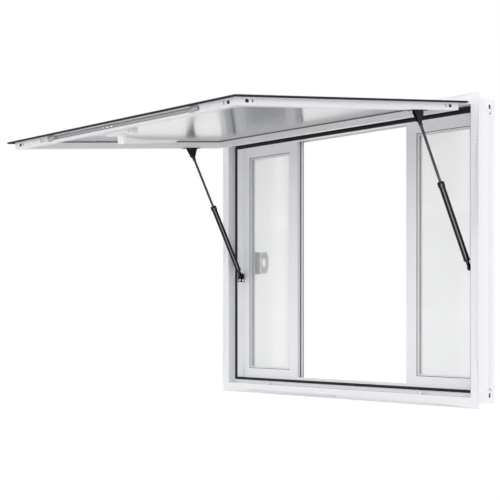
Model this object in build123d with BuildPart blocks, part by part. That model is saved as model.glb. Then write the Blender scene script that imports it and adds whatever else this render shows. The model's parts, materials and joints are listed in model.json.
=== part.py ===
from build123d import *
import math
import os

# Serving window with a lift-up awning door, two gas struts and four sliding screens.
#
# Millimetres.  Origin: centre of the flange's back plane, which is the wall plane.
# +X runs to the right seen from outside, +Y into the wall, +Z up.
# Every flat member is drawn on a plane whose local X is +X, whose local Y runs down the
# window (away from the hinge on the awning) and whose local Z runs inwards.

# ---------------------------------------------------------------- driving dimensions
WIDTH, HEIGHT = 1219.0, 914.0          # over the flange, a 48 x 36 inch window
FLANGE_T = 2.5
FLANGE_INNER = 32.0                    # flange edge to the rebate wall
BOX_INSET = 14.0                       # flange edge to the box that enters the wall
BOX_DEPTH = 80.5                       # wall plane to the inside face
WALL = 2.0
STOP_Y = 23.5                          # stop that carries the gasket
REVEAL = 52.0                          # flange edge to the reveal face
TRACK_Y = 51.5                         # front of the sash pocket
POCKET = 32.0                          # flange edge to the back of the pocket floor
SCREW_R, SCREW_EDGE = 2.5, 8.0
SIDE_SCREW_Z, END_SCREW_X = 311.0, 461.0

HINGE_Y, HINGE_Z = -7.5, 431.5         # hinge axis, parallel to X
OPEN_DROOP = 5.0                       # degrees below level when fully open
LIP_HALF, LIP_TOP, LIP_FREE = 586.0, 14.0, 866.0
RIM_INSET, RIM_TOP, RIM_WIDTH, RIM_DEPTH = 17.8, 38.0, 30.0, 23.4
SKIN_D, SKIN_T, LIP_T = -2.0, 1.2, 1.5

SASH_W, SASH_HALF_H, SASH_EDGE, SASH_T = 311.0, 418.0, 571.0, 12.3
SASH_Y = (52.9, 66.9)                  # front faces of the outer and the inner track
SASH_FACE, SASH_LIP = 44.0, 50.0       # width of a sash bar, without and with its lip
SASH_WALL = 1.5
LIP_D = (3.0, 5.5)                     # depth of the lip that covers the edge of the screen cloth

STRUT_X = 545.0
STRUT_FOOT = (29.5, -49.0)             # y, z of the lower pivot
STRUT_HEAD = (180.0, 49.0)             # distance along and below the awning, upper pivot
TUBE_R, TUBE_LENGTH, ROD_R, ROD_LENGTH = 9.0, 248.0, 4.0, 246.0
EYE_R, EYE_T, PIN_R = 7.0, 6.0, 3.0

KEEPER_X = 365.0
LOCK_TRAVEL = 20.0
HANDLE_X, HANDLE_S = -32.0, 799.0      # handle spindle: along X, and distance from the hinge axis
ROD_S, ROD_D = 842.0, 7.5              # inner faces of the drive rod
RUN = 0.05                             # radial running clearance

os.makedirs("parts", exist_ok=True)

# ---------------------------------------------------------------- planes and outlines
FRAME = Plane(origin=(0, 0, 0), x_dir=(1, 0, 0), z_dir=(0, 1, 0))
DROOP = math.radians(OPEN_DROOP)
AWNING = Plane(
    origin=(0, HINGE_Y, HINGE_Z),
    x_dir=(1, 0, 0),
    z_dir=(0, math.sin(DROOP), -math.cos(DROOP)),
)
SIDES = {"top": (0, 1), "right": (1, 2), "bottom": (2, 3), "left": (3, 0)}


def rectangle(half_width, top, bottom):
    """Corner points of a rectangle in a member plane, clockwise from the top left."""
    return [(-half_width, top), (half_width, top), (half_width, bottom), (-half_width, bottom)]


def inset(corners, distance):
    """The same rectangle with every edge moved inwards."""
    inward = [(1, 1), (-1, 1), (-1, -1), (1, -1)]
    return [(x + i * distance, y + j * distance) for (x, y), (i, j) in zip(corners, inward)]


def mitred_bar(plane, side, layers):
    """One side of a rectangular frame, mitred at both ends.

    A layer is (start, end, bands), and a band is a pair of nested rectangles."""
    first, second = SIDES[side]
    with BuildPart() as bar:
        for start, end, bands in layers:
            with BuildSketch(plane.offset(start)):
                for outer, inner in bands:
                    with BuildLine():
                        Polyline(outer[first], outer[second], inner[second], inner[first], close=True)
                    make_face()
            extrude(amount=end - start)
    return bar.part


def box_between(plane, low, high):
    """A block between two corner points given in a plane's own axes."""
    with BuildPart() as block:
        with BuildSketch(plane.offset(low[2])):
            with BuildLine():
                Polyline(low[:2], (high[0], low[1]), high[:2], (low[0], high[1]), close=True)
            make_face()
        extrude(amount=high[2] - low[2])
    return block.part


def disc_on(plane, centre, radius, start, end):
    """A round bar across a plane, from one offset to another."""
    with BuildPart() as disc:
        with BuildSketch(plane.offset(start)):
            with Locations(centre):
                Circle(radius)
        extrude(amount=end - start)
    return disc.part


def across(plane, along):
    """The plane square to a member plane's X axis, at local x = along.

    Its local X is the member plane's Y and its local Y is the member plane's Z."""
    origin = plane.from_local_coords(Vector(along, 0, 0))
    return Plane(origin=origin, x_dir=plane.y_dir, z_dir=plane.x_dir)


def save(part, name):
    part.label = name
    export_step(part, f"parts/{name}.step")


def bands(corners, *pairs):
    return [(inset(corners, outer), inset(corners, inner)) for outer, inner in pairs]


# ---------------------------------------------------------------- frame
FRAME_RECT = rectangle(WIDTH / 2, -HEIGHT / 2, HEIGHT / 2)
REBATE = (FLANGE_INNER - WALL, FLANGE_INNER)
OUTER_WALL = (BOX_INSET, BOX_INSET + WALL)
FRAME_LAYERS = [
    (-FLANGE_T, 0, bands(FRAME_RECT, (0, FLANGE_INNER))),
    (0, STOP_Y, bands(FRAME_RECT, OUTER_WALL, REBATE)),
    (STOP_Y, STOP_Y + WALL, bands(FRAME_RECT, OUTER_WALL, (FLANGE_INNER - WALL, REVEAL))),
    (STOP_Y + WALL, TRACK_Y - WALL, bands(FRAME_RECT, OUTER_WALL, (REVEAL - WALL, REVEAL))),
    (TRACK_Y - WALL, TRACK_Y, bands(FRAME_RECT, OUTER_WALL, (POCKET, REVEAL))),
    (TRACK_Y, BOX_DEPTH - WALL, bands(FRAME_RECT, OUTER_WALL, (POCKET, POCKET + WALL))),
    (BOX_DEPTH - WALL, BOX_DEPTH, bands(FRAME_RECT, (BOX_INSET, POCKET + WALL))),
]
FIXING_Y, SLOT_LONG, SLOT_WIDE, FIXING_R = 60.0, 14.0, 8.0, 2.5
BOX_END_X, BOX_END_Z = WIDTH / 2 - BOX_INSET, HEIGHT / 2 - BOX_INSET


def flange_screw_points(side):
    """Centres of the three flange holes of one side, in the frame plane."""
    edge_x, edge_z = WIDTH / 2 - SCREW_EDGE, HEIGHT / 2 - SCREW_EDGE
    if side in ("top", "bottom"):
        level = -edge_z if side == "top" else edge_z
        return [(x, level) for x in (-END_SCREW_X, 0, END_SCREW_X)]
    level = -edge_x if side == "left" else edge_x
    return [(level, z) for z in (-SIDE_SCREW_Z, 0, SIDE_SCREW_Z)]


def wall_plane(side):
    """Plane on the outer wall of a member: local X runs along the wall, local Y inwards."""
    offsets = {
        "top": ((0, 0, BOX_END_Z), (1, 0, 0), (0, 0, -1)),
        "bottom": ((0, 0, -BOX_END_Z), (1, 0, 0), (0, 0, -1)),
        "left": ((-BOX_END_X, 0, 0), (0, 0, 1), (-1, 0, 0)),
        "right": ((BOX_END_X, 0, 0), (0, 0, 1), (-1, 0, 0)),
    }
    origin, x_dir, z_dir = offsets[side]
    return Plane(origin=origin, x_dir=x_dir, z_dir=z_dir)


def frame_member(side):
    half = BOX_END_X if side in ("top", "bottom") else BOX_END_Z
    with BuildPart() as member:
        add(mitred_bar(FRAME, side, FRAME_LAYERS))
        with BuildSketch(FRAME.offset(-FLANGE_T)):
            with Locations(*flange_screw_points(side)):
                Circle(SCREW_R)
        extrude(amount=FLANGE_T, mode=Mode.SUBTRACT)
        with BuildSketch(wall_plane(side)):
            for end in (-1, 1):
                with Locations((end * (half - 22), FIXING_Y)):
                    SlotOverall(SLOT_LONG, SLOT_WIDE)
                with Locations((end * (half - 41), FIXING_Y + 2)):
                    Circle(FIXING_R)
        extrude(amount=WALL, both=True, mode=Mode.SUBTRACT)
    return member.part


for side, name in (("top", "frame_head"), ("bottom", "frame_sill"),
                   ("left", "frame_jamb_left"), ("right", "frame_jamb_right")):
    save(frame_member(side), name)

KEY_LEG, KEY_GAP = 70.0, 0.3
KEY_OUTER, KEY_INNER = BOX_INSET + WALL + KEY_GAP, FLANGE_INNER - WALL - KEY_GAP
with BuildPart() as frame_corner_keys:
    for x_sign in (-1, 1):
        for y_sign in (-1, 1):
            corner_x, corner_y = WIDTH / 2 - KEY_OUTER, HEIGHT / 2 - KEY_OUTER
            arm = KEY_INNER - KEY_OUTER
            with BuildSketch(FRAME.offset(3)):
                with BuildLine():
                    Polyline(*[(x_sign * (corner_x - a), y_sign * (corner_y - b)) for a, b in (
                        (0, 0), (KEY_LEG, 0), (KEY_LEG, arm), (arm, arm), (arm, KEY_LEG), (0, KEY_LEG))],
                        close=True)
                make_face()
            extrude(amount=17)
save(frame_corner_keys.part, "frame_corner_keys")

GASKET_BASE, GASKET_BULB = (43.0, 52.0), (44.5, 50.5)
HEAD_GASKET_BASE = (33.0, 52.0)        # the head's gasket also lines the rebate behind the hinge
with BuildPart() as frame_gasket:
    for side in SIDES:
        base = HEAD_GASKET_BASE if side == "top" else GASKET_BASE
        add(mitred_bar(FRAME, side, [
            (17.0, 20.5, bands(FRAME_RECT, GASKET_BULB)),
            (20.5, STOP_Y, bands(FRAME_RECT, base)),
        ]))
save(frame_gasket.part, "frame_gasket")

# ---------------------------------------------------------------- sash tracks
TRACK_BASE = (POCKET + WALL, POCKET + WALL + 1.5)
FIN = 1.0
MID_FIN_Y = 65.6


def track_layers(front_height):
    low = TRACK_BASE[0]
    return [
        (TRACK_Y, TRACK_Y + FIN, bands(FRAME_RECT, (low, front_height))),
        (TRACK_Y + FIN, MID_FIN_Y, bands(FRAME_RECT, TRACK_BASE)),
        (MID_FIN_Y, MID_FIN_Y + FIN, bands(FRAME_RECT, (low, REVEAL - 2))),
        (MID_FIN_Y + FIN, BOX_DEPTH - FIN, bands(FRAME_RECT, TRACK_BASE)),
        (BOX_DEPTH - FIN, BOX_DEPTH, bands(FRAME_RECT, (low, REVEAL))),
    ]


WEATHER_FIN = REVEAL + 7               # the sill's front fin stands above the reveal
for side, name, fin in (("top", "track_head", REVEAL), ("bottom", "track_sill", WEATHER_FIN),
                        ("left", "track_left", REVEAL), ("right", "track_right", REVEAL)):
    save(mitred_bar(FRAME, side, track_layers(fin)), name)

# ---------------------------------------------------------------- sliding screens
MESH_D, MESH_T = 5.6, 0.5


def sash_plane(track):
    return FRAME.offset(SASH_Y[track])


def sash_corners(side):
    """Rectangle of one sash, which stands against the left (-1) or right (1) jamb."""
    near, far = side * SASH_EDGE, side * (SASH_EDGE - SASH_W)
    low, high = min(near, far), max(near, far)
    return [(low, -SASH_HALF_H), (high, -SASH_HALF_H), (high, SASH_HALF_H), (low, SASH_HALF_H)]


def hollow_bar(plane, low, high, along_x):
    """A hollow sash bar between two corner points of its face, open at its ends."""
    with BuildPart() as bar:
        add(box_between(plane, (*low, 0), (*high, SASH_T)))
        if along_x:
            core_low, core_high = (low[0], low[1] + SASH_WALL), (high[0], high[1] - SASH_WALL)
        else:
            core_low, core_high = (low[0] + SASH_WALL, low[1]), (high[0] - SASH_WALL, high[1])
        add(box_between(plane, (*core_low, SASH_WALL), (*core_high, SASH_T - SASH_WALL)),
            mode=Mode.SUBTRACT)
    return bar.part


def sash_stiles(corners, plane):
    (left, top), (right, _), (_, bottom), _ = corners
    with BuildPart() as stiles:
        add(hollow_bar(plane, (left, top), (left + SASH_FACE, bottom), False))
        add(hollow_bar(plane, (right - SASH_FACE, top), (right, bottom), False))
        for x0, x1 in ((left + SASH_FACE, left + SASH_LIP), (right - SASH_LIP, right - SASH_FACE)):
            add(box_between(plane, (x0, top + SASH_FACE, LIP_D[0]), (x1, bottom - SASH_FACE, LIP_D[1])))
    return stiles.part


def sash_rails(corners, plane):
    (left, top), (right, _), (_, bottom), _ = corners
    x0, x1 = left + SASH_FACE, right - SASH_FACE
    with BuildPart() as rails:
        add(hollow_bar(plane, (x0, top), (x1, top + SASH_FACE), True))
        add(hollow_bar(plane, (x0, bottom - SASH_FACE), (x1, bottom), True))
        lip_x0, lip_x1 = left + SASH_LIP, right - SASH_LIP
        for y0, y1 in ((top + SASH_FACE, top + SASH_LIP), (bottom - SASH_LIP, bottom - SASH_FACE)):
            add(box_between(plane, (lip_x0, y0, LIP_D[0]), (lip_x1, y1, LIP_D[1])))
    return rails.part


def sash_mesh(corners, plane):
    low, high = inset(corners, SASH_FACE + 0.5)[0], inset(corners, SASH_FACE + 0.5)[2]
    return box_between(plane, (*low, MESH_D), (*high, MESH_D + MESH_T))


def sash_spline(corners, plane):
    with BuildPart() as spline:
        for side in SIDES:
            add(mitred_bar(plane, side, [
                (MESH_D + MESH_T + 0.1, MESH_D + MESH_T + 2.6, bands(corners, (44.3, 47.0)))]))
    return spline.part


for side, side_name in ((-1, "left"), (1, "right")):
    for track, track_name in enumerate(("outer", "inner")):
        corners, plane = sash_corners(side), sash_plane(track)
        prefix = f"screen_{side_name}_{track_name}"
        save(sash_stiles(corners, plane), f"{prefix}_stiles")
        save(sash_rails(corners, plane), f"{prefix}_rails")
        save(sash_mesh(corners, plane), f"{prefix}_mesh")
        save(sash_spline(corners, plane), f"{prefix}_spline")

# ---------------------------------------------------------------- screen latch
LATCH_BACK = SASH_Y[1] + SASH_T
LATCH = FRAME.offset(LATCH_BACK)
LATCH_X, LATCH_TOP, LATCH_BOTTOM = -533.0, -39.0, 39.0
PRONG_Y = (-22.0, 8.0)
with BuildPart() as latch_base:
    add(box_between(LATCH, (LATCH_X, LATCH_TOP, 0), (LATCH_X + 24, LATCH_BOTTOM, 9)))
    for level in PRONG_Y:
        add(box_between(LATCH, (LATCH_X - 1, level - 5.4, 2.6), (LATCH_X + 25, level + 5.4, 6.4)),
            mode=Mode.SUBTRACT)
save(latch_base.part, "latch_base")

with BuildPart() as latch_pull:
    with BuildSketch(LATCH.offset(3)):
        with BuildLine():
            Polyline((LATCH_X + 35.5, -38), (LATCH_X + 63, -38), (LATCH_X + 74, -22),
                     (LATCH_X + 74, 22), (LATCH_X + 63, 38), (LATCH_X + 35.5, 38), close=True)
        make_face()
        with Locations((LATCH_X + 50, 0)):
            Rectangle(21, 26, mode=Mode.SUBTRACT)
        with Locations((LATCH_X + 45, -38), (LATCH_X + 45, 38)):
            Circle(4, mode=Mode.SUBTRACT)
    extrude(amount=3)
    for level in PRONG_Y:
        add(box_between(LATCH, (LATCH_X - 24, level - 5, 3), (LATCH_X + 36, level + 5, 6)))
save(latch_pull.part, "latch_pull")

# ---------------------------------------------------------------- hinge
KNUCKLES, KNUCKLE_R, HINGE_PIN_R, HINGE_HALF = 11, 3.5, 1.5, 570.0
PITCH = 2 * HINGE_HALF / KNUCKLES
KNUCKLE_GAP = 0.5


def knuckles(first):
    """Every second barrel of the hinge, bored for the pin."""
    with BuildPart() as barrels:
        for index in range(first, KNUCKLES, 2):
            start = -HINGE_HALF + index * PITCH + KNUCKLE_GAP
            with BuildSketch(across(AWNING, start)):
                Circle(KNUCKLE_R)
                Circle(HINGE_PIN_R + RUN, mode=Mode.SUBTRACT)
            extrude(amount=PITCH - 2 * KNUCKLE_GAP)
    return barrels.part


with BuildPart() as hinge_leaf_frame:
    add(box_between(FRAME, (-HINGE_HALF, -452.0, -FLANGE_T - 2), (HINGE_HALF, -436.0, -FLANGE_T)))
    for index in range(0, KNUCKLES, 2):
        start = -HINGE_HALF + index * PITCH + KNUCKLE_GAP
        end = start + PITCH - 2 * KNUCKLE_GAP
        add(box_between(FRAME, (start, -436.0, -FLANGE_T - 2), (end, -432.0, -FLANGE_T)))
    add(knuckles(0))
    with BuildSketch(across(AWNING, -HINGE_HALF)):
        Circle(HINGE_PIN_R + RUN)
    extrude(amount=2 * HINGE_HALF, mode=Mode.SUBTRACT)
save(hinge_leaf_frame.part, "hinge_leaf_frame")

LEAF_D = SKIN_D + SKIN_T + LIP_T
with BuildPart() as hinge_leaf_awning:
    add(box_between(AWNING, (-HINGE_HALF, 5.0, LEAF_D), (HINGE_HALF, RIM_TOP - 0.5, LEAF_D + 2)))
    for index in range(1, KNUCKLES, 2):
        start = -HINGE_HALF + index * PITCH + KNUCKLE_GAP
        end = start + PITCH - 2 * KNUCKLE_GAP
        add(box_between(AWNING, (start, 2.0, LEAF_D), (end, 5.0, LEAF_D + 2)))
    add(knuckles(1))
    with BuildSketch(across(AWNING, -HINGE_HALF)):
        Circle(HINGE_PIN_R + RUN)
    extrude(amount=2 * HINGE_HALF, mode=Mode.SUBTRACT)
save(hinge_leaf_awning.part, "hinge_leaf_awning")

with BuildPart() as hinge_pin:
    with BuildSketch(across(AWNING, -HINGE_HALF - 1)):
        Circle(HINGE_PIN_R)
    extrude(amount=2 * HINGE_HALF + 2)
save(hinge_pin.part, "hinge_pin")

# ---------------------------------------------------------------- awning door
LIP_RECT = rectangle(LIP_HALF, LIP_TOP, LIP_FREE)
RIM_HALF, RIM_FREE = LIP_HALF - RIM_INSET, LIP_FREE - RIM_INSET
RIM_RECT = rectangle(RIM_HALF, RIM_TOP, RIM_FREE)
RIM_IN = inset(RIM_RECT, RIM_WIDTH)
EDGE_TRIM = 1.6                        # the seal wraps the lip's edge by this much
GROOVE_D, GROOVE = (17.6, 19.4), 0.8   # shadow line along the rim
RIM_LAYERS = [
    (SKIN_D + SKIN_T, LEAF_D, [(inset(LIP_RECT, EDGE_TRIM), RIM_IN)]),
    (LEAF_D, GROOVE_D[0], bands(RIM_RECT, (0, WALL), (RIM_WIDTH - WALL, RIM_WIDTH))),
    (*GROOVE_D, bands(RIM_RECT, (GROOVE, WALL), (RIM_WIDTH - WALL, RIM_WIDTH))),
    (GROOVE_D[1], RIM_DEPTH - WALL, bands(RIM_RECT, (0, WALL), (RIM_WIDTH - WALL, RIM_WIDTH))),
    (RIM_DEPTH - WALL, RIM_DEPTH, bands(RIM_RECT, (0, RIM_WIDTH))),
]
KEY_HOLE, KEY_HOLE_AT, KEY_MARK_AT, KEY_HOLE_D = (13.0, 9.0), 34.0, 52.0, 12.0

save(box_between(AWNING, (-LIP_HALF, LIP_TOP, SKIN_D), (LIP_HALF, LIP_FREE, SKIN_D + SKIN_T)), "awning_skin")
save(box_between(AWNING, (RIM_IN[0][0] + 0.3, RIM_IN[0][1] + 0.3, SKIN_D + SKIN_T),
                 (RIM_IN[2][0] - 0.3, RIM_IN[2][1] - 0.3, 2.2)), "awning_liner")


def side_rail(side):
    """A side rail with the access holes of its two corner keys."""
    with BuildPart() as rail:
        add(mitred_bar(AWNING, "left" if side < 0 else "right", RIM_LAYERS))
        with BuildSketch(across(AWNING, side * RIM_HALF)):
            for end, step in ((RIM_TOP, 1), (RIM_FREE, -1)):
                with Locations((end + step * KEY_HOLE_AT, KEY_HOLE_D)):
                    SlotOverall(*KEY_HOLE)
                with Locations((end + step * KEY_MARK_AT, KEY_HOLE_D)):
                    SlotOverall(9, 4, rotation=90)
        extrude(amount=WALL, both=True, mode=Mode.SUBTRACT)
    return rail.part


save(side_rail(-1), "awning_rail_left")
save(side_rail(1), "awning_rail_right")
save(mitred_bar(AWNING, "top", RIM_LAYERS), "awning_rail_hinge")

CHANNEL_HALF, CHANNEL_D, CHANNEL_DEPTH, CHANNEL_WALL = 412.0, (6.0, 17.0), 7.2, 1.5
DRIVE_SLOT = 36.0                      # half length of the opening that the crank reaches through
FLOOR_S = RIM_FREE - CHANNEL_DEPTH
with BuildPart() as awning_rail_free:
    add(mitred_bar(AWNING, "bottom", RIM_LAYERS))
    add(box_between(
        AWNING,
        (-CHANNEL_HALF - CHANNEL_WALL, FLOOR_S - CHANNEL_WALL, CHANNEL_D[0] - CHANNEL_WALL),
        (CHANNEL_HALF + CHANNEL_WALL, RIM_FREE, CHANNEL_D[1] + CHANNEL_WALL)))
    add(box_between(
        AWNING, (-CHANNEL_HALF, FLOOR_S, CHANNEL_D[0]), (CHANNEL_HALF, RIM_FREE + 1, CHANNEL_D[1])),
        mode=Mode.SUBTRACT)
    add(box_between(
        AWNING, (HANDLE_X - DRIVE_SLOT, RIM_FREE - RIM_WIDTH - 1, CHANNEL_D[0]),
        (HANDLE_X + DRIVE_SLOT, FLOOR_S + 1, CHANNEL_D[1])),
        mode=Mode.SUBTRACT)
    free_face = Plane(
        origin=AWNING.from_local_coords(Vector(0, RIM_FREE, 0)), x_dir=AWNING.x_dir, z_dir=-AWNING.y_dir)
    with BuildSketch(free_face):
        for end in (-1, 1):
            with Locations((end * (RIM_HALF - KEY_HOLE_AT), KEY_HOLE_D)):
                SlotOverall(*KEY_HOLE)
            with Locations((end * (RIM_HALF - KEY_MARK_AT), KEY_HOLE_D)):
                SlotOverall(9, 4, rotation=90)
    extrude(amount=WALL, both=True, mode=Mode.SUBTRACT)
save(awning_rail_free.part, "awning_rail_free")

AWNING_KEY_LEG = 48.0
with BuildPart() as awning_corner_keys:
    low, high = WALL + KEY_GAP, RIM_WIDTH - WALL - KEY_GAP
    for x_sign in (-1, 1):
        for start, direction in ((RIM_TOP, 1), (RIM_FREE, -1)):
            points = [(low, low), (low + AWNING_KEY_LEG, low), (low + AWNING_KEY_LEG, high),
                      (high, high), (high, low + AWNING_KEY_LEG), (low, low + AWNING_KEY_LEG)]
            with BuildSketch(AWNING.offset(LEAF_D + KEY_GAP)):
                with BuildLine():
                    Polyline(*[(x_sign * (RIM_HALF - a), start + direction * b) for a, b in points],
                             close=True)
                make_face()
            extrude(amount=RIM_DEPTH - WALL - LEAF_D - 2 * KEY_GAP)
save(awning_corner_keys.part, "awning_corner_keys")

SEAL_T = 3.9
with BuildPart() as awning_seal:
    for side in ("left", "right", "bottom"):
        add(mitred_bar(AWNING, side, [
            (SKIN_D + SKIN_T, LEAF_D, bands(LIP_RECT, (0, EDGE_TRIM))),
            (LEAF_D, LEAF_D + SEAL_T - 1.4, bands(LIP_RECT, (0, 7.5))),
            (LEAF_D + SEAL_T - 1.4, LEAF_D + SEAL_T, bands(LIP_RECT, (1.6, 6.0)))]))
save(awning_seal.part, "awning_seal")

# ---------------------------------------------------------------- gas struts
head_world = AWNING.from_local_coords(Vector(0, STRUT_HEAD[0], STRUT_HEAD[1]))
SPAN_Y, SPAN_Z = head_world.Y - STRUT_FOOT[0], head_world.Z - STRUT_FOOT[1]
STRUT_SPAN = math.hypot(SPAN_Y, SPAN_Z)
print("strut span when open:", round(STRUT_SPAN, 2))
NECK = 27.0                            # foot pivot to the bottom of the tube
HEAD_NECK = 20.0                       # head pivot to the start of the rod
HEAD_PLATE, HEAD_HOLES = (-28.0, 35.0), (-22.5, 29.0)     # from the head pivot, along the awning


def strut_plane(side):
    """Origin on the foot pivot, local Z up the strut, local X along the pivots."""
    return Plane(origin=(side * STRUT_X, *STRUT_FOOT), x_dir=(1, 0, 0),
                 z_dir=(0, SPAN_Y / STRUT_SPAN, SPAN_Z / STRUT_SPAN))


def strut_eye(side, level, direction, neck):
    """Flat eye with a shoulder that screws onto the end of the tube or the rod."""
    axis = strut_plane(side)
    origin = axis.from_local_coords(Vector(-EYE_T / 2, 0, level))
    face = Plane(origin=origin, x_dir=axis.y_dir, z_dir=axis.x_dir)
    with BuildPart() as eye:
        with BuildSketch(face):
            Circle(EYE_R)
            with Locations((0, direction * neck / 2 * 0.9)):
                Rectangle(2 * PIN_R + 3, neck * 0.9)
            Circle(PIN_R + RUN, mode=Mode.SUBTRACT)
        extrude(amount=EYE_T)
        shoulder_start = level + direction * neck * 0.72
        shoulder_end = level + direction * neck
        low, high = sorted((shoulder_start, shoulder_end))
        with BuildSketch(axis.offset(low)):
            Circle(5.5)
        extrude(amount=high - low)
    return eye.part


def strut_tube(side):
    axis = strut_plane(side)
    with BuildPart() as tube:
        with BuildSketch(axis.offset(NECK)):
            Circle(TUBE_R)
        extrude(amount=TUBE_LENGTH)
        with BuildSketch(axis.offset(NECK + 4)):
            Circle(TUBE_R - 1.4)
        extrude(amount=TUBE_LENGTH - 12, mode=Mode.SUBTRACT)
        with BuildSketch(axis.offset(NECK + TUBE_LENGTH - 9)):
            Circle(ROD_R + RUN)
        extrude(amount=10, mode=Mode.SUBTRACT)
        fillet(tube.edges().filter_by(GeomType.CIRCLE).group_by(SortBy.RADIUS)[-1], 1.5)
    return tube.part


def strut_rod(side):
    axis = strut_plane(side)
    with BuildPart() as rod:
        with BuildSketch(axis.offset(STRUT_SPAN - HEAD_NECK - ROD_LENGTH + 14)):
            Circle(ROD_R)
        extrude(amount=ROD_LENGTH - 14)
        with BuildSketch(axis.offset(STRUT_SPAN - HEAD_NECK - ROD_LENGTH)):
            Circle(TUBE_R - 1.4 - 0.15)
        extrude(amount=14)
    return rod.part


def strut_foot(side):
    """Wall plate on the reveal with a boss for the strut's lower pin."""
    wall_x = WIDTH / 2 - REVEAL
    plane = across(FRAME, 0)
    with BuildPart() as foot:
        with BuildSketch(plane.offset(side * wall_x)):
            with Locations((52, (25.8 + 51) / 2)):
                RectangleRounded(30, 25.2, 3)
            with Locations((60, 31.5), (60, 45.5)):
                Circle(2.2, mode=Mode.SUBTRACT)
        extrude(amount=-side * 2.5)
        with BuildSketch(plane.offset(side * (wall_x - 2.5))):
            with Locations((-STRUT_FOOT[1], STRUT_FOOT[0] + 1.5)):
                Circle(5.0)
        extrude(amount=-side * (wall_x - 2.5 - STRUT_X - EYE_T / 2 - 0.4))
    return foot.part


def strut_head(side):
    """Plate under the awning rail with two tapered cheeks and the strut's upper pin."""
    along, below = STRUT_HEAD
    plate_d = RIM_DEPTH
    centre = side * STRUT_X
    cheek = across(AWNING, 0)
    with BuildPart() as bracket:
        add(box_between(AWNING, (centre - 12, along + HEAD_PLATE[0], plate_d),
                        (centre + 10, along + HEAD_PLATE[1], plate_d + 2)))
        for offset in (-EYE_T / 2 - 3.4, EYE_T / 2 + 0.4):
            with BuildSketch(cheek.offset(centre + offset)):
                with BuildLine():
                    Polyline((along - 17, plate_d + 1), (along + 22, plate_d + 1), (along + 8, below),
                             (along - 8, below), close=True)
                make_face()
                with Locations((along, below)):
                    Circle(8)
                    Circle(PIN_R, mode=Mode.SUBTRACT)
            extrude(amount=3)
        with BuildSketch(cheek.offset(centre - EYE_T / 2 - 3.4)):
            with Locations((along, below)):
                Circle(PIN_R)
        extrude(amount=EYE_T + 6.8)
        for hole in (along + HEAD_HOLES[0], along + HEAD_HOLES[1]):
            add(disc_on(AWNING, (centre, hole), 2.2, plate_d - 1, plate_d + 3), mode=Mode.SUBTRACT)
    return bracket.part


def lower_pin(side):
    """Pin that fills the foot eye, with a washer and a clip on the open side."""
    plane = across(FRAME, 0)
    centre = (-STRUT_FOOT[1], STRUT_FOOT[0])
    outer = side * (STRUT_X + EYE_T / 2)
    with BuildPart() as pin:
        with BuildSketch(plane.offset(outer)):
            with Locations(centre):
                Circle(PIN_R)
        extrude(amount=-side * (EYE_T + 3))
        with BuildSketch(plane.offset(outer - side * (EYE_T + 0.2))):
            with Locations(centre):
                Circle(6.0)
        extrude(amount=-side * 1.6)
    return pin.part


for side, name in ((-1, "left"), (1, "right")):
    save(strut_foot(side), f"strut_foot_{name}")
    save(strut_head(side), f"strut_head_{name}")
    with BuildPart() as tube_end:
        add(strut_eye(side, 0, 1, NECK))
        add(lower_pin(side))
    save(tube_end.part, f"strut_eye_lower_{name}")
    save(strut_tube(side), f"strut_tube_{name}")
    save(strut_rod(side), f"strut_rod_{name}")
    save(strut_eye(side, STRUT_SPAN, -1, HEAD_NECK), f"strut_eye_upper_{name}")

with BuildPart() as head_screws:
    for side in (-1, 1):
        for hole in (STRUT_HEAD[0] + HEAD_HOLES[0], STRUT_HEAD[0] + HEAD_HOLES[1]):
            add(disc_on(AWNING, (side * STRUT_X, hole), 2.1, RIM_DEPTH, RIM_DEPTH + 2.1))
            add(disc_on(AWNING, (side * STRUT_X, hole), 4.2, RIM_DEPTH + 2.05, RIM_DEPTH + 3.6))
save(head_screws.part, "head_screws")

# ---------------------------------------------------------------- lock keepers on the sill
SILL = FRAME_RECT[2][1] - FLANGE_INNER     # local Y of the sill's rebate face
KEEPER_D = 12.0 + HINGE_Y                  # y of the keeper, under the drive rod
with BuildPart() as lock_keepers:
    for x in (-KEEPER_X, KEEPER_X):
        add(box_between(FRAME, (x - 14.5, SILL - 1.6, KEEPER_D - 7), (x + 14.5, SILL, KEEPER_D + 7)))
        post = Plane(origin=(x, KEEPER_D, -SILL + 1.6), x_dir=(1, 0, 0), z_dir=(0, 0, 1))
        with BuildSketch(post):
            Circle(2.6)
        extrude(amount=4.0)
        with BuildSketch(post.offset(3.9)):
            Circle(5.0)
        extrude(amount=1.3)
save(lock_keepers.part, "lock_keepers")

# ---------------------------------------------------------------- two-point lock
FORK_S = (851.6, 853.4)
FORK_LENGTH, FORK_SLOT = 19.0, 14.6    # from the tip: end of the fork plate, end of its slot
CRANK_X = HANDLE_X + LOCK_TRAVEL / 2   # the crank pin's place when unlocked
CRANK_SLOT = 3.7                       # half width of the slot that the crank pin works in
with BuildPart() as lock_rod:
    add(box_between(AWNING, (-368.0, ROD_S, ROD_D), (409.0, ROD_S + 4, ROD_D + 8)))
    add(box_between(AWNING, (CRANK_X - 16, 803.0, ROD_D), (CRANK_X + 16, ROD_S + 1, ROD_D + 4)))
    add(box_between(AWNING, (CRANK_X - CRANK_SLOT, 802.0, ROD_D - 1),
                    (CRANK_X + CRANK_SLOT, 820.0, ROD_D + 5)), mode=Mode.SUBTRACT)
save(lock_rod.part, "lock_rod")

with BuildPart() as lock_forks:
    for keeper in (-KEEPER_X, KEEPER_X):
        tip = keeper + 9.0
        add(box_between(AWNING, (tip + FORK_LENGTH - 2, ROD_S + 4, 6.4), (tip + 34, FORK_S[1], 16.6)))
        add(box_between(AWNING, (tip, FORK_S[0], 4.0), (tip + FORK_LENGTH, FORK_S[1], 20.0)))
        add(box_between(AWNING, (tip - 1, FORK_S[0] - 1, 8.6), (tip + FORK_SLOT, FORK_S[1] + 1, 15.4)),
            mode=Mode.SUBTRACT)
save(lock_forks.part, "lock_forks")

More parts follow.
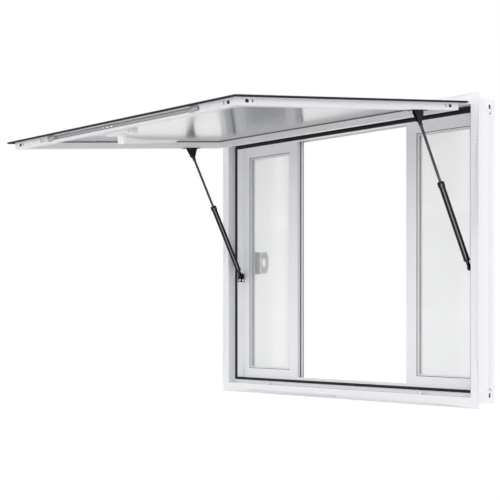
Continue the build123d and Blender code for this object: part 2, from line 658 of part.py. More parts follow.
# ---------------------------------------------------------------- lock handle
BASE_HALF, BASE_S, BASE_D = 55.0, (780.0, 817.4), (2.2, 33.0)
SPINDLE_R, HUB_R = 6.0, 13.0
with BuildPart() as handle_base:
    base_x0, base_x1 = HANDLE_X - BASE_HALF, HANDLE_X + BASE_HALF
    add(box_between(AWNING, (base_x0, BASE_S[0], BASE_D[0]), (base_x1, BASE_S[1], BASE_D[1])))
    add(box_between(AWNING, (base_x0 + 2.5, BASE_S[0] + 2.5, BASE_D[0] - 1),
                    (base_x1 - 2.5, BASE_S[1] - 2.5, BASE_D[1] - 3)), mode=Mode.SUBTRACT)
    add(box_between(AWNING, (HANDLE_X - DRIVE_SLOT, BASE_S[1] - 4, CHANNEL_D[0]),
                    (HANDLE_X + DRIVE_SLOT, BASE_S[1] + 1, CHANNEL_D[1])), mode=Mode.SUBTRACT)
    add(disc_on(AWNING, (HANDLE_X, HANDLE_S), SPINDLE_R + RUN, BASE_D[1] - 5, BASE_D[1] + 1),
        mode=Mode.SUBTRACT)
save(handle_base.part, "handle_base")

CRANK_S = HANDLE_S + LOCK_TRAVEL / 2
REACH = 4.2
with BuildPart() as handle_crank:
    add(disc_on(AWNING, (HANDLE_X, HANDLE_S), SPINDLE_R, 12.2, 38.0))
    with BuildSketch(AWNING.offset(12.2)):
        with Locations((HANDLE_X, HANDLE_S)):
            Circle(8.5)
        with Locations((CRANK_X, CRANK_S)):
            Circle(5.0)
        with BuildLine():
            Polyline((HANDLE_X - REACH, HANDLE_S + REACH), (HANDLE_X + REACH, HANDLE_S - REACH),
                     (CRANK_X + 0.8 * REACH, CRANK_S - 0.8 * REACH),
                     (CRANK_X - 0.8 * REACH, CRANK_S + 0.8 * REACH), close=True)
        make_face()
    extrude(amount=4)
    add(disc_on(AWNING, (CRANK_X, CRANK_S), 3.0, ROD_D - 0.8, 12.3))
save(handle_crank.part, "handle_crank")

LEVER_END, LEVER_ROOT_W, LEVER_TIP_W = 609.0, 24.0, 16.0
HUB_D = (33.6, 59.0)
with BuildPart() as handle_lever:
    with BuildSketch(across(AWNING, HANDLE_X - LEVER_ROOT_W / 2)):
        with BuildLine():
            start = Line((HANDLE_S, 58.5), (HANDLE_S - 30, 57.5))
            Line(start @ 1, (LEVER_END + 6, 54.5))
            Line((LEVER_END + 6, 54.5), (LEVER_END, 52.0))
            Line((LEVER_END, 52.0), (LEVER_END + 6, 48.5))
            Line((LEVER_END + 6, 48.5), (HANDLE_S - 60, 47.5))
            Line((HANDLE_S - 60, 47.5), (HANDLE_S, 42.0))
            Line((HANDLE_S, 42.0), (HANDLE_S, 58.5))
        make_face()
    extrude(amount=LEVER_ROOT_W)
    with BuildSketch(AWNING.offset(30)):
        with BuildLine():
            Polyline((HANDLE_X - LEVER_ROOT_W / 2, HANDLE_S), (HANDLE_X + LEVER_ROOT_W / 2, HANDLE_S),
                     (HANDLE_X + LEVER_TIP_W / 2, LEVER_END + 8),
                     (HANDLE_X - LEVER_TIP_W / 2, LEVER_END + 8), close=True)
        make_face()
        with Locations((HANDLE_X, LEVER_END + LEVER_TIP_W / 2)):
            Circle(LEVER_TIP_W / 2)
    extrude(amount=40, mode=Mode.INTERSECT)
    add(disc_on(AWNING, (HANDLE_X, HANDLE_S), HUB_R, *HUB_D))
    add(disc_on(AWNING, (HANDLE_X, HANDLE_S), SPINDLE_R, HUB_D[0] - 1, 38.0), mode=Mode.SUBTRACT)
save(handle_lever.part, "handle_lever")
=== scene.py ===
"""Looks for the awning serving window: materials, screen weave, small details, light and camera."""
import json
import math

import bpy
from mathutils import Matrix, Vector


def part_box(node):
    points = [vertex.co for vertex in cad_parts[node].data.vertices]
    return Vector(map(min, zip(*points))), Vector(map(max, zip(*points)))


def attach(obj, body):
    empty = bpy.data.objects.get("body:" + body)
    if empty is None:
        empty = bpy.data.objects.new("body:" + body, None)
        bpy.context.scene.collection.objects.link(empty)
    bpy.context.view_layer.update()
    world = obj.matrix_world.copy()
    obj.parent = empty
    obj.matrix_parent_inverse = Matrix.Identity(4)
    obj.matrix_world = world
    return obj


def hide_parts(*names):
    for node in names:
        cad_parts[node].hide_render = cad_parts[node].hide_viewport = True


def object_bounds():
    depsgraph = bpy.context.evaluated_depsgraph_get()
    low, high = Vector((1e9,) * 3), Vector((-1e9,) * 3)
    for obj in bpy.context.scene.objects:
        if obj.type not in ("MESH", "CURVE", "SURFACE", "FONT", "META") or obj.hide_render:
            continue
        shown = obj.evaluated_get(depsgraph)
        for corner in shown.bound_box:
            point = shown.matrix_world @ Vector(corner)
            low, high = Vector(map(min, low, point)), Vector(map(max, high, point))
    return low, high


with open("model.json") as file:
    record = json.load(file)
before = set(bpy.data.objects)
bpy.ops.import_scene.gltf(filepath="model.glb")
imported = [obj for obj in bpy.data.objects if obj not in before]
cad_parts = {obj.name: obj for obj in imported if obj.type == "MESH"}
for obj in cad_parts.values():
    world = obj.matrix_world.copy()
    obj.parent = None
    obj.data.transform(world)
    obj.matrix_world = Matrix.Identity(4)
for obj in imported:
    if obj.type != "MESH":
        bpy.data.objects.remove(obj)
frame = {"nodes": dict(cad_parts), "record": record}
cad_box = [list(corner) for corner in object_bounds()]
nodes = frame["nodes"]
MM = 0.001
SIDES = ("left", "right")

# ---------------------------------------------------------------- camera and light
CAMERA_AT = (3.1241, -2.8253, -0.1887)
CAMERA_HEADING = math.radians(49.65)
CAMERA_LENS, SENSOR_WIDTH, CAMERA_SHIFT = 93.7, 36.0, (-0.0942, 0.1319)
CLIP_NEAR, CLIP_FAR = 0.05, 100
FLOOR_LEVEL, FLOOR_REACH = -4.0, 60.0
# Brightness of the studio walls by direction: a base level, then what each side adds.
WALLS = {"base": 0.0, "up": 0.52, "front": 1.04, "right": 1.34, "left": 0.15}
# Lamps: place, target, width and height in metres, power in watts.
CORNER_BOX = ((4.0, -3.5, 1.6), (0, 0, 0), (2.5, 2.5), 11.0)
STRIP = ((3.3, -2.1, -2.1), (-0.1, -0.3, 0.2), (3.0, 3.0), 420.0)  # the highlight along the struts
FLAG = (-0.66, -0.31, 0.13, -0.45, 0.44)                           # left, right, depth, low, high
FLAG_BLACK, FLOOR_WHITE = (0.01, 0.01, 0.01, 1), (0.9, 0.9, 0.9, 1)
GLOSS_LEFT = 1.6                       # what the left wall adds where it is mirrored
FLOOR_GLOW = 0.24                      # keeps the floor as pale as the backdrop where it is seen
WHITE_LIGHT = (1, 1, 1, 1)


def make_camera():
    data = bpy.data.cameras.new("camera")
    data.sensor_width = SENSOR_WIDTH
    data.lens = CAMERA_LENS
    data.shift_x, data.shift_y = CAMERA_SHIFT
    data.clip_start, data.clip_end = CLIP_NEAR, CLIP_FAR
    camera = bpy.data.objects.new("camera", data)
    camera.location = CAMERA_AT
    camera.rotation_euler = (math.pi / 2, 0, CAMERA_HEADING)
    bpy.context.scene.collection.objects.link(camera)
    bpy.context.scene.camera = camera


def make_light(name, place, target, size, power):
    data = bpy.data.lights.new(name, "AREA")
    data.shape = "RECTANGLE"
    data.size, data.size_y = size
    data.energy = power
    light = bpy.data.objects.new(name, data)
    light.location = place
    aim = Vector(target) - Vector(place)
    light.rotation_euler = aim.to_track_quat("-Z", "Y").to_euler()
    light.visible_camera = False
    bpy.context.scene.collection.objects.link(light)
    return light


def make_flag():
    """A dark card behind the window, which only reflections see: the unlit room inside."""
    mesh = bpy.data.meshes.new("flag")
    left, right, depth, low, high = FLAG
    corners = [(left, depth, low), (right, depth, low), (right, depth, high), (left, depth, high)]
    mesh.from_pydata(corners, [], [(0, 1, 2, 3)])
    flag = bpy.data.objects.new("flag", mesh)
    bpy.context.scene.collection.objects.link(flag)
    material = bpy.data.materials.new("flag_black")
    material.use_nodes = True
    material.node_tree.nodes["Principled BSDF"].inputs["Base Color"].default_value = FLAG_BLACK
    mesh.materials.append(material)
    flag.visible_camera = flag.visible_diffuse = flag.visible_shadow = False
    flag.visible_transmission = False


def make_world():
    """White behind the object; the light comes from walls that are brighter in front and above."""
    world = bpy.data.worlds.new("studio")
    bpy.context.scene.world = world
    world.use_nodes = True
    nodes_of, link = world.node_tree.nodes, world.node_tree.links.new
    path = nodes_of.new("ShaderNodeLightPath")
    split = nodes_of.new("ShaderNodeSeparateXYZ")
    link(nodes_of.new("ShaderNodeTexCoord").outputs["Generated"], split.inputs["Vector"])

    def sum_up(source, factor, level):
        """Adds source times factor to the level that is there already."""
        added = nodes_of.new("ShaderNodeMath")
        added.operation = "MULTIPLY_ADD"
        added.inputs[1].default_value = factor
        added.inputs[2].default_value = WALLS["base"]
        link(source, added.inputs[0])
        if level:
            link(level, added.inputs[2])
        return added.outputs[0]

    level = None
    sides = (("up", "Z", 1), ("front", "Y", -1), ("right", "X", 1), ("left", "X", -1))
    for side, socket, sign in sides:
        lobe = nodes_of.new("ShaderNodeMath")
        lobe.operation, lobe.use_clamp = "MULTIPLY", True
        lobe.inputs[1].default_value = sign
        link(split.outputs[socket], lobe.inputs[0])
        level = sum_up(lobe.outputs[0], WALLS[side], level)
    mirrored = nodes_of.new("ShaderNodeMath")
    mirrored.operation = "MULTIPLY"
    link(lobe.outputs[0], mirrored.inputs[0])
    link(path.outputs["Is Glossy Ray"], mirrored.inputs[1])
    level = sum_up(mirrored.outputs[0], GLOSS_LEFT, level)
    walls = nodes_of["Background"]
    walls.inputs["Color"].default_value = WHITE_LIGHT
    link(level, walls.inputs["Strength"])
    backdrop = nodes_of.new("ShaderNodeBackground")
    backdrop.inputs["Color"].default_value = WHITE_LIGHT
    chosen = nodes_of.new("ShaderNodeMixShader")
    link(path.outputs["Is Camera Ray"], chosen.inputs["Fac"])
    link(walls.outputs[0], chosen.inputs[1])
    link(backdrop.outputs[0], chosen.inputs[2])
    link(chosen.outputs[0], nodes_of["World Output"].inputs["Surface"])


def make_floor():
    mesh = bpy.data.meshes.new("floor")
    corners = [(x * FLOOR_REACH, y * FLOOR_REACH, FLOOR_LEVEL)
               for x, y in ((-1, -1), (1, -1), (1, 1), (-1, 1))]
    mesh.from_pydata(corners, [], [(0, 1, 2, 3)])
    floor = bpy.data.objects.new("floor", mesh)
    bpy.context.scene.collection.objects.link(floor)
    material = bpy.data.materials.new("floor_white")
    material.use_nodes = True
    shader = material.node_tree.nodes["Principled BSDF"]
    shader.inputs["Base Color"].default_value = FLOOR_WHITE
    shader.inputs["Roughness"].default_value = 0.95
    shader.inputs["Specular IOR Level"].default_value = 0.0
    shader.inputs["Emission Color"].default_value = WHITE_LIGHT
    seen = material.node_tree.nodes.new("ShaderNodeMath")
    seen.operation = "MULTIPLY"
    seen.inputs[1].default_value = FLOOR_GLOW
    path = material.node_tree.nodes.new("ShaderNodeLightPath")
    material.node_tree.links.new(path.outputs["Is Camera Ray"], seen.inputs[0])
    material.node_tree.links.new(seen.outputs[0], shader.inputs["Emission Strength"])
    mesh.materials.append(material)


def make_studio():
    make_world()
    make_floor()
    make_flag()
    make_light("corner", *CORNER_BOX)
    make_light("strip", *STRIP).visible_diffuse = False
    bpy.context.scene.view_settings.view_transform = "Standard"


# ---------------------------------------------------------------- materials
class Shader:
    """A material's node tree, with short calls for the few nodes that the finishes use."""

    def __init__(self, name):
        self.material = bpy.data.materials.new(name)
        self.material.use_nodes = True
        self.tree = self.material.node_tree
        self.surface = self.tree.nodes["Principled BSDF"]
        self.place = self.node("ShaderNodeTexCoord").outputs["Object"]

    def node(self, kind, **settings):
        made = self.tree.nodes.new(kind)
        for key, value in settings.items():
            setattr(made, key, value)
        return made

    def link(self, source, target):
        self.tree.links.new(source, target)

    def set(self, **values):
        for key, value in values.items():
            self.surface.inputs[key.replace("_", " ")].default_value = value

    def stretched(self, scale):
        mapping = self.node("ShaderNodeMapping")
        mapping.inputs["Scale"].default_value = scale
        self.link(self.place, mapping.inputs["Vector"])
        return mapping.outputs["Vector"]

    def noise(self, scale, detail=2.0, stretch=(1, 1, 1)):
        made = self.node("ShaderNodeTexNoise")
        made.inputs["Scale"].default_value = scale
        made.inputs["Detail"].default_value = detail
        self.link(self.stretched(stretch), made.inputs["Vector"])
        return made.outputs["Fac"]

    def spread(self, source, low, high):
        made = self.node("ShaderNodeMapRange")
        made.inputs["To Min"].default_value = low
        made.inputs["To Max"].default_value = high
        self.link(source, made.inputs["Value"])
        return made.outputs["Result"]

    def mix(self, factor, first, second):
        made = self.node("ShaderNodeMix", data_type="RGBA")
        self.link(factor, made.inputs["Factor"])
        made.inputs["A"].default_value = (*first, 1)
        made.inputs["B"].default_value = (*second, 1)
        return made.outputs["Result"]

    def bump(self, source, distance, strength=1.0):
        made = self.node("ShaderNodeBump")
        made.inputs["Distance"].default_value = distance
        made.inputs["Strength"].default_value = strength
        self.link(source, made.inputs["Height"])
        if self.surface.inputs["Normal"].is_linked:
            self.link(self.surface.inputs["Normal"].links[0].from_socket, made.inputs["Normal"])
        self.link(made.outputs["Normal"], self.surface.inputs["Normal"])


def shade(colour, factor):
    return tuple(channel * factor for channel in colour)


def powder_coat(name, colour, roughness=0.38, peel=0.00002):
    """Baked powder on aluminium: orange peel, a fine grain and a faint unevenness of tone."""
    s = Shader(name)
    tone = s.noise(6.0, 3.0)
    s.link(s.mix(tone, shade(colour, 0.985), shade(colour, 1.015)), s.surface.inputs["Base Color"])
    s.link(s.spread(s.noise(900.0, 2.0), roughness - 0.05, roughness + 0.06), s.surface.inputs["Roughness"])
    s.set(IOR=1.5, Coat_Weight=0.15, Coat_Roughness=0.25)
    s.bump(s.noise(420.0, 2.0), peel, 0.6)
    s.bump(s.noise(2600.0, 1.0), peel * 0.3, 0.4)
    return s.material


def laminate(name, colour):
    """Lacquered sheet with the slight waviness of a bonded panel."""
    s = Shader(name)
    tone = s.mix(s.noise(3.0, 2.0), shade(colour, 0.985), shade(colour, 1.01))
    s.link(tone, s.surface.inputs["Base Color"])
    s.link(s.spread(s.noise(60.0, 3.0), 0.17, 0.22), s.surface.inputs["Roughness"])
    s.set(IOR=1.65, Metallic=0.3, Coat_Weight=0.6, Coat_Roughness=0.16)
    s.bump(s.noise(9.0, 1.0), 0.0004, 0.08)
    s.bump(s.noise(700.0, 2.0), 0.00002, 0.4)
    return s.material


def rubber(name, colour=(0.006, 0.006, 0.0065)):
    """Extruded seal rubber: dusty, with fine pores and drawn lines."""
    s = Shader(name)
    s.link(s.mix(s.noise(45.0, 4.0), colour, shade(colour, 2.2)), s.surface.inputs["Base Color"])
    s.link(s.spread(s.noise(300.0, 3.0), 0.55, 0.75), s.surface.inputs["Roughness"])
    s.set(IOR=1.5, Specular_IOR_Level=0.2)
    s.bump(s.noise(1500.0, 2.0), 0.00006, 0.5)
    return s.material


def gloss_black(name, colour=(0.004, 0.004, 0.0045), roughness=0.14):
    """Sprayed black enamel over steel, with hairline scuffs."""
    s = Shader(name)
    s.link(s.mix(s.noise(30.0, 3.0), colour, shade(colour, 1.7)), s.surface.inputs["Base Color"])
    s.link(s.spread(s.noise(220.0, 4.0), roughness - 0.05, roughness + 0.07), s.surface.inputs["Roughness"])
    s.set(IOR=1.5, Specular_IOR_Level=0.2)
    s.bump(s.noise(520.0, 2.0), 0.00003, 0.3)
    return s.material


def metal(name, colour, roughness, grain=(1, 1, 1), scale=600.0):
    """Bare or plated metal with grain along one direction."""
    s = Shader(name)
    s.link(s.mix(s.noise(scale, 3.0, grain), shade(colour, 0.9), colour), s.surface.inputs["Base Color"])
    wear = s.spread(s.noise(scale, 2.0, grain), roughness - 0.06, roughness + 0.08)
    s.link(wear, s.surface.inputs["Roughness"])
    s.set(Metallic=1.0)
    s.bump(s.noise(scale * 2, 1.0, grain), 0.00002, 0.4)
    return s.material


def moulded(name, colour, roughness=0.45):
    """Moulded plastic with a fine spark-eroded grain."""
    s = Shader(name)
    tone = s.mix(s.noise(25.0, 3.0), shade(colour, 0.93), shade(colour, 1.05))
    s.link(tone, s.surface.inputs["Base Color"])
    s.link(s.spread(s.noise(800.0, 2.0), roughness - 0.06, roughness + 0.08), s.surface.inputs["Roughness"])
    s.set(IOR=1.49)
    s.bump(s.noise(1100.0, 3.0), 0.00006, 0.6)
    return s.material


WHITE = (0.815, 0.822, 0.848)
finishes = {
    "frame_white": powder_coat("frame_powder", WHITE),
    "track_white": powder_coat("track_powder", shade(WHITE, 0.97), 0.42),
    "key_metal": metal("cast_key", (0.03, 0.03, 0.032), 0.5),
    "rubber_black": rubber("seal_rubber"),
    "hinge_white": powder_coat("hinge_powder", WHITE, 0.36),
    "pin_steel": metal("zinc_plate", (0.62, 0.62, 0.64), 0.28, (1, 8, 8)),
    "strut_black": gloss_black("strut_enamel"),
    "rod_dark": metal("nitrided_rod", (0.05, 0.05, 0.055), 0.22, (8, 1, 1)),
    "awning_white": powder_coat("awning_powder", WHITE),
    # The liner is dark grey though its slot is white: part of the shade on the awning's underside is
    # painted into its colour.
    "liner_white": laminate("liner_laminate", (0.28, 0.283, 0.288)),
    "lever_white": moulded("lever_white", (0.87, 0.875, 0.88), 0.34),
    "latch_dark": moulded("latch_dark", (0.02, 0.022, 0.025)),
    "latch_grey": moulded("latch_grey", (0.36, 0.37, 0.38)),
    "screen_white": powder_coat("screen_powder", WHITE, 0.4),
    "mesh_grey": moulded("mesh_thread", (0.80, 0.81, 0.82), 0.6),
    "spline_grey": rubber("spline_rubber", (0.05, 0.05, 0.053)),
}
own_finishes = {
    # The lock rod gets darker metal than the other steel so the channel it lies in reads dark: painted
    # shade of that recess.
    "lock_rod": metal("lock_rod_satin", (0.30, 0.30, 0.31), 0.42, (1, 12, 12), 300.0),
    "lock_forks": metal("fork_zinc", (0.33, 0.33, 0.34), 0.5, (1, 8, 8)),
}
# Radius of the rounded edges in millimetres, by slot.
USUAL_ROUNDING = 0.45
EDGE_ROUNDING = {
    "strut_black": 0.5, "rod_dark": 0.4, "lever_white": 1.6, "pin_steel": 0.25, "latch_dark": 0.7,
    "latch_grey": 0.5, "rubber_black": 0.9, "spline_grey": 0.5, "key_metal": 0.3,
}
ROUNDING_STEPS, SHARPEST_LEFT = 2, math.radians(40)
WELD_REACH = 0.01 * MM


def finish_cad_nodes():
    """Every CAD node takes its slot's finish, and its sharp edges a small radius."""
    for part in frame["record"]["subparts"]:
        piece, slot = nodes[part["node"]], part["material_slot"]
        piece.data.materials.clear()
        piece.data.materials.append(own_finishes.get(part["node"], finishes[slot]))
        weld = piece.modifiers.new("weld", "WELD")
        weld.merge_threshold = WELD_REACH
        rounding = piece.modifiers.new("edges", "BEVEL")
        rounding.width = EDGE_ROUNDING.get(slot, USUAL_ROUNDING) * MM
        rounding.segments = ROUNDING_STEPS
        rounding.limit_method = "ANGLE"
        rounding.angle_limit = SHARPEST_LEFT
        rounding.use_clamp_overlap = True
        rounding.harden_normals = False


# ---------------------------------------------------------------- places that the record gives
joints = {joint["name"]: joint for joint in frame["record"]["behaviour"]["joints"]}
HINGE = Vector(joints["awning_hinge"]["pos_m"])
DROOP = math.radians(90 - joints["awning_hinge"]["range_deg"][1])
ALONG = Vector((0, -math.cos(DROOP), -math.sin(DROOP)))     # from the hinge to the free edge
BELOW = Vector((0, math.sin(DROOP), -math.cos(DROOP)))      # down out of the awning's underside


def on_awning(x, along, below):
    """A point given in millimetres along the hinge, away from it and below it."""
    return HINGE + Vector((x, 0, 0)) * MM + ALONG * along * MM + BELOW * below * MM


# ---------------------------------------------------------------- mesh helpers
def finish_piece(shape, name, body, slot, replaced=(), smooth=False):
    """A new piece from points and faces, riding on a body and finished as its slot says."""
    points, faces = shape
    mesh = bpy.data.meshes.new(name)
    mesh.from_pydata(points, [], faces)
    mesh.validate()
    for polygon in mesh.polygons:
        polygon.use_smooth = smooth
    piece = bpy.data.objects.new(name, mesh)
    bpy.context.scene.collection.objects.link(piece)
    mesh.materials.append(finishes[slot])
    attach(piece, body)
    if replaced:
        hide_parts(*replaced)


def uprights(profiles, bottom, top):
    """Closed profiles, each a list of x and y, carried straight up between two heights."""
    points, faces = [], []
    for profile in profiles:
        start, count = len(points), len(profile)
        for z in (bottom, top):
            points += [(x, y, z) for x, y in profile]
        faces.append(tuple(start + step for step in range(count)))
        faces.append(tuple(start + count + step for step in reversed(range(count))))
        for step in range(count):
            after = (step + 1) % count
            faces.append((start + step, start + step + count, start + after + count, start + after))
    return points, faces


def mitred_ring(section, place):
    """A closed section around four corners; place puts one of its points at one corner."""
    points, faces, count = [], [], len(section)
    for across, along in ((0, 0), (1, 0), (1, 1), (0, 1)):
        points += [place(across, along, inward, depth) for inward, depth in section]
    for corner in range(4):
        here, there = corner * count, (corner + 1) % 4 * count
        for step in range(count):
            after = (step + 1) % count
            faces.append((here + step, there + step, there + after, here + after))
    return points, faces


class Rings:
    """Closed solids of revolution, gathered into one shape."""

    def __init__(self):
        self.points, self.faces = [], []

    def add(self, place, axis, rings, count=24):
        """rings: (radius, height, sides) from the bottom up; sides 0 is round, 6 is a hexagon."""
        turn = Vector(axis).to_track_quat("Z", "Y").to_matrix()
        start = len(self.points)
        for radius, height, sides in rings:
            for step in range(count):
                angle = 2 * math.pi * step / count
                reach = radius
                if sides:
                    wedge = math.pi / sides
                    off_flat = (angle + wedge) % (2 * wedge) - wedge
                    reach = radius * math.cos(wedge) / math.cos(off_flat)
                local = Vector((reach * math.cos(angle), reach * math.sin(angle), height)) * MM
                self.points.append(Vector(place) + turn @ local)
        for ring in range(len(rings) - 1):
            low = start + ring * count
            for step in range(count):
                after = (step + 1) % count
                self.faces.append((low + step, low + after, low + count + after, low + count + step))
        self.faces.append(tuple(start + step for step in reversed(range(count))))
        last = start + (len(rings) - 1) * count
        self.faces.append(tuple(last + step for step in range(count)))

    def shape(self):
        return self.points, self.faces


def socket_head(radius, height):
    """Rings of a domed screw head with a hexagon socket."""
    key, floor = radius * 0.42, height * 0.3
    return [(radius, 0, 0), (radius, height * 0.3, 0), (radius * 0.93, height * 0.62, 0),
            (radius * 0.78, height * 0.86, 0), (radius * 0.56, height, 0), (key * 1.08, height, 6),
            (key, height * 0.94, 6), (key, floor, 6)]


# ---------------------------------------------------------------- screens
THREAD_R, WARP_PITCH, WEFT_PITCH = 0.075, 1.41, 1.59
# Sections in millimetres: inward from the sash's edge, then back from its front face. The bead is dark:
# painted shade in the corner between the sash's bars and its lip.
SHADE_BEAD = [(44.02, 2.98), (45.7, 2.98), (45.5, 2.2), (44.9, 1.6), (44.02, 1.4)]
# Out from the meeting edge, then back from the front face.
BULB = [(-0.3, 8.2), (0.35, 8.4), (0.75, 9.2), (0.8, 10.2), (0.75, 11.2), (0.35, 12.0), (-0.3, 12.1)]
RIB = [(-0.3, 0.5), (0.35, 0.6), (0.5, 1.1), (0.5, 1.9), (0.35, 2.4), (-0.3, 2.5)]
SEAL_END = 2.0                                           # short of the sash's ends by this much
PILE_ROWS, PILE_PITCH, PILE_TUFT = 5, 1.1, 0.6           # rows of brush, and the width of one
PILE_HEIGHT, PILE_BASE, PILE_INSET, PILE_GAP, PILE_END = 1.6, 0.6, 0.6, 0.04, 3.0


def screen_cloth(node, body):
    """Every thread of the cloth: the warp runs up and lies in front of the weft."""
    low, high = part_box(node)
    middle, radius = (low[1] + high[1]) / 2, THREAD_R * MM
    points, faces = [], []

    def thread(centre, half, along):
        start = len(points)
        for end in (-1, 1):
            for u, v in ((-1, -1), (1, -1), (1, 1), (-1, 1)):
                point = list(centre)
                point[along] += end * half
                point[2 - along] += u * radius
                point[1] += v * radius
                points.append(point)
        faces.append((start, start + 1, start + 2, start + 3))
        faces.append((start + 7, start + 6, start + 5, start + 4))
        for side in range(4):
            after = (side + 1) % 4
            faces.append((start + side, start + side + 4, start + after + 4, start + after))

    width, height = high[0] - low[0], high[2] - low[2]
    centre_x, centre_z = (low[0] + high[0]) / 2, (low[2] + high[2]) / 2
    for along, pitch, span, length in ((2, WARP_PITCH, width, height), (0, WEFT_PITCH, height, width)):
        count = int((span - 2 * radius) / (pitch * MM))
        for index in range(count + 1):
            place = (index - count / 2) * pitch * MM
            if along == 2:
                thread((centre_x + place, middle - radius, centre_z), length / 2, along)
            else:
                thread((centre_x, middle + radius, centre_z + place), length / 2, along)
    finish_piece((points, faces), node + "_threads", body, "mesh_grey", (node,))


def shade_bead_ring(sash):
    """Dark quarter-round bead in the corner between a sash's bars and its lip, mitred all round: painted
    shade of that corner.
    """
    low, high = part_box(sash + "_stiles")

    def place(across, along, inward, depth):
        x = high[0] - inward * MM if across else low[0] + inward * MM
        z = high[2] - inward * MM if along else low[2] + inward * MM
        return x, low[1] + depth * MM, z

    finish_piece(mitred_ring(SHADE_BEAD, place), sash + "_bead", sash, "spline_grey")


def pile_strip(sash, side):
    """Dark brush pile in the gap between two sashes, along the edge that faces the opening: a real pile
    strip, whose dark colour also paints the shade in that gap.
    """
    low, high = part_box(sash + "_stiles")
    edge, inwards = (high[0], -1) if side == "left" else (low[0], 1)
    brush = [(0, 0)]
    for row in range(PILE_ROWS):
        start = row * PILE_PITCH
        brush += [(start, PILE_HEIGHT), (start + PILE_TUFT, PILE_HEIGHT),
                  (start + PILE_TUFT + 0.1, PILE_BASE), (start + PILE_PITCH - 0.1, PILE_BASE)]
    brush[-1] = (PILE_ROWS * PILE_PITCH, 0)
    profile = [(edge + inwards * (PILE_INSET + across) * MM, high[1] + (PILE_GAP + out) * MM)
               for across, out in brush]
    ends = low[2] + PILE_END * MM, high[2] - PILE_END * MM
    finish_piece(uprights([profile], *ends), sash + "_pile", sash, "spline_grey")


def meeting_seal(sash, side):
    """Soft bulb down the edge of a sash that meets its partner, and a line of rubber beside it."""
    low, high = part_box(sash + "_stiles")
    edge, outwards = (high[0], 1) if side == "left" else (low[0], -1)
    profiles = [[(edge + outwards * out * MM, low[1] + depth * MM) for out, depth in section]
                for section in (BULB, RIB)]
    ends = low[2] + SEAL_END * MM, high[2] - SEAL_END * MM
    finish_piece(uprights(profiles, *ends), sash + "_meeting_seal", sash, "spline_grey")


def dress_screens():
    for body, members in frame["record"]["behaviour"]["bodies"].items():
        for node in members:
            if node.endswith("_mesh"):
                screen_cloth(node, body)
                shade_bead_ring(body)
                meeting_seal(body, body.split("_")[1])
    for side in SIDES:
        pile_strip(f"screen_{side}_outer", side)


# ---------------------------------------------------------------- rebate and liner
# Ribs: in from the flange's outer edge, and back from the wall's face, in millimetres.
RIBS_LOW, RIBS_HIGH = -424.0, 404.5
RIB_FACE, RIB_CREST, RIB_FLOOR = 23.48, 21.9, 22.98
RIB_FIRST, RIB_PITCH, RIB_COUNT = 33.2, 2.35, 4
LINER_HALF, LINER_ALONG = 538.2, (68.0, 818.2)           # inner faces of the awning's rails
# Section of the dark seam bead, painted shade of the groove: inward from a rail, then down from the plane
# of the hinge's axis.
SEAM_SHADE = [(0.05, 2.24), (2.4, 2.24), (1.5, 2.8), (0.8, 3.5), (0.05, 4.6)]


def rebate_ribs():
    """Ribbed face of both jambs between the rebate wall and the gasket."""
    edge = -cad_box[0][0] / MM
    ribs = [(RIB_FIRST, RIB_FACE)]
    for rib in range(RIB_COUNT):
        start = RIB_FIRST + rib * RIB_PITCH
        ribs += [(start, RIB_CREST), (start + 0.9, RIB_CREST), (start + 1.1, RIB_FLOOR),
                 (start + RIB_PITCH - 0.2, RIB_FLOOR)]
    ribs[-1] = (RIB_FIRST + RIB_COUNT * RIB_PITCH - 0.2, RIB_FACE)
    profiles = [[(sign * (edge - across) * MM, depth * MM) for across, depth in ribs] for sign in (-1, 1)]
    finish_piece(uprights(profiles, RIBS_LOW * MM, RIBS_HIGH * MM), "rebate_ribs", "frame", "frame_white")


def liner_bead():
    """A dark bead in the corner between the awning's liner and its four rails: painted shade of the seam's
    groove.
    """

    def place(across, along, inward, depth):
        x = (1 if across else -1) * (LINER_HALF - inward)
        return on_awning(x, LINER_ALONG[1] - inward if along else LINER_ALONG[0] + inward, depth)

    finish_piece(mitred_ring(SEAM_SHADE, place), "liner_bead", "awning", "spline_grey")


# ---------------------------------------------------------------- struts and screws
FOOT_SCREW_Y, FOOT_SCREW_Z, FOOT_PLATE = (31.5, 45.5), -60, 2.5
ROD_SCREWS, ROD_FACE = (-22, 0, 22), (845.9, 11.5)       # across from the spindle; along, below
BASE_SCREWS, BASE_FACE = (-44, 44), 32.9
SPINDLE_ALONG, LEVER_FACE = 799, 58.7


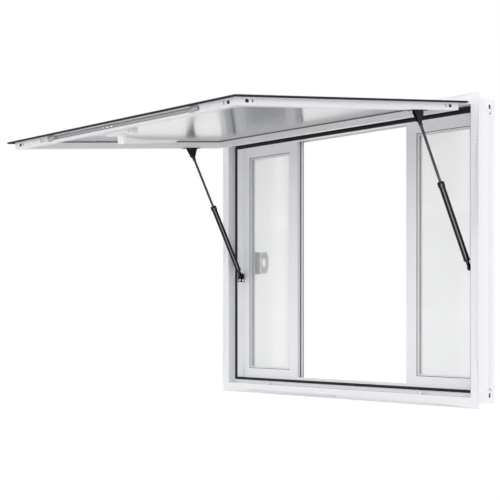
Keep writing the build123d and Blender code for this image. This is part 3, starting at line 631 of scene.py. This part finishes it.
def strut_details(side):
    """Crimped collar and wiper at the rod end of the tube, weld ring at its foot."""
    head = Vector(joints["strut_swing_" + side]["pos_m"])
    axis = Vector(joints["strut_stroke_" + side]["axis"]).normalized()
    if axis.z < 0:
        axis = -axis
    low, high = (Vector(corner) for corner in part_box("strut_tube_" + side))
    wide = (high.x - low.x) / 2
    radius, overhang = wide / MM, wide * abs(axis.y)
    top = head + axis * ((high.z - overhang - head.z) / axis.z)
    bottom = head + axis * ((low.z + overhang - head.z) / axis.z)
    collar = [(radius + 0.02, -16, 0), (radius + 1.3, -15.2, 0), (radius + 1.5, -14, 0),
              (radius + 1.5, -3, 0), (radius + 0.9, -0.8, 0), (radius - 1.5, 0.4, 0),
              (radius - 3.6, 1.2, 0), (4.25, 1.3, 0)]
    ring = [(radius - 2, -3, 0), (radius + 0.1, -2.4, 0), (radius + 0.7, 0, 0),
            (radius + 0.7, 3, 0), (radius + 0.05, 4, 0)]
    trim = Rings()
    trim.add(top, axis, collar, 32)
    trim.add(bottom, axis, ring, 32)
    finish_piece(trim.shape(), "strut_trim_" + side, "strut_tube_" + side, "strut_black", smooth=True)


def frame_screws():
    """Screws that hold the lower strut feet to the jambs."""
    screws = Rings()
    for side, sign in zip(SIDES, (-1, 1)):
        low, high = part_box("strut_foot_" + side)
        wall = (high[0] if sign > 0 else low[0]) - sign * FOOT_PLATE * MM
        for depth in FOOT_SCREW_Y:
            screws.add((wall, depth * MM, FOOT_SCREW_Z * MM), (-sign, 0, 0), socket_head(4.0, 2.2))
    finish_piece(screws.shape(), "foot_screws", "frame", "pin_steel", smooth=True)


def lock_screws():
    """Screws of the drive rod, of the handle's base and of its lever."""
    spindle = joints["handle_turn"]["pos_m"][0] / MM
    rod, base, lever = Rings(), Rings(), Rings()
    for offset in ROD_SCREWS:
        rod.add(on_awning(spindle + offset, *ROD_FACE), ALONG, socket_head(3.0, 1.9))
    for offset in BASE_SCREWS:
        base.add(on_awning(spindle + offset, SPINDLE_ALONG, BASE_FACE), BELOW, socket_head(4.2, 2.4))
    lever.add(on_awning(spindle, SPINDLE_ALONG, LEVER_FACE), BELOW, socket_head(6.0, 1.3))
    finish_piece(rod.shape(), "rod_screws", "lock", "pin_steel", smooth=True)
    finish_piece(base.shape(), "base_screws", "awning", "pin_steel", smooth=True)
    finish_piece(lever.shape(), "lever_screw", "handle", "pin_steel", smooth=True)


make_camera()
make_studio()
finish_cad_nodes()
dress_screens()
for side in SIDES:
    strut_details(side)
rebate_ribs()
liner_bead()
frame_screws()
lock_screws()
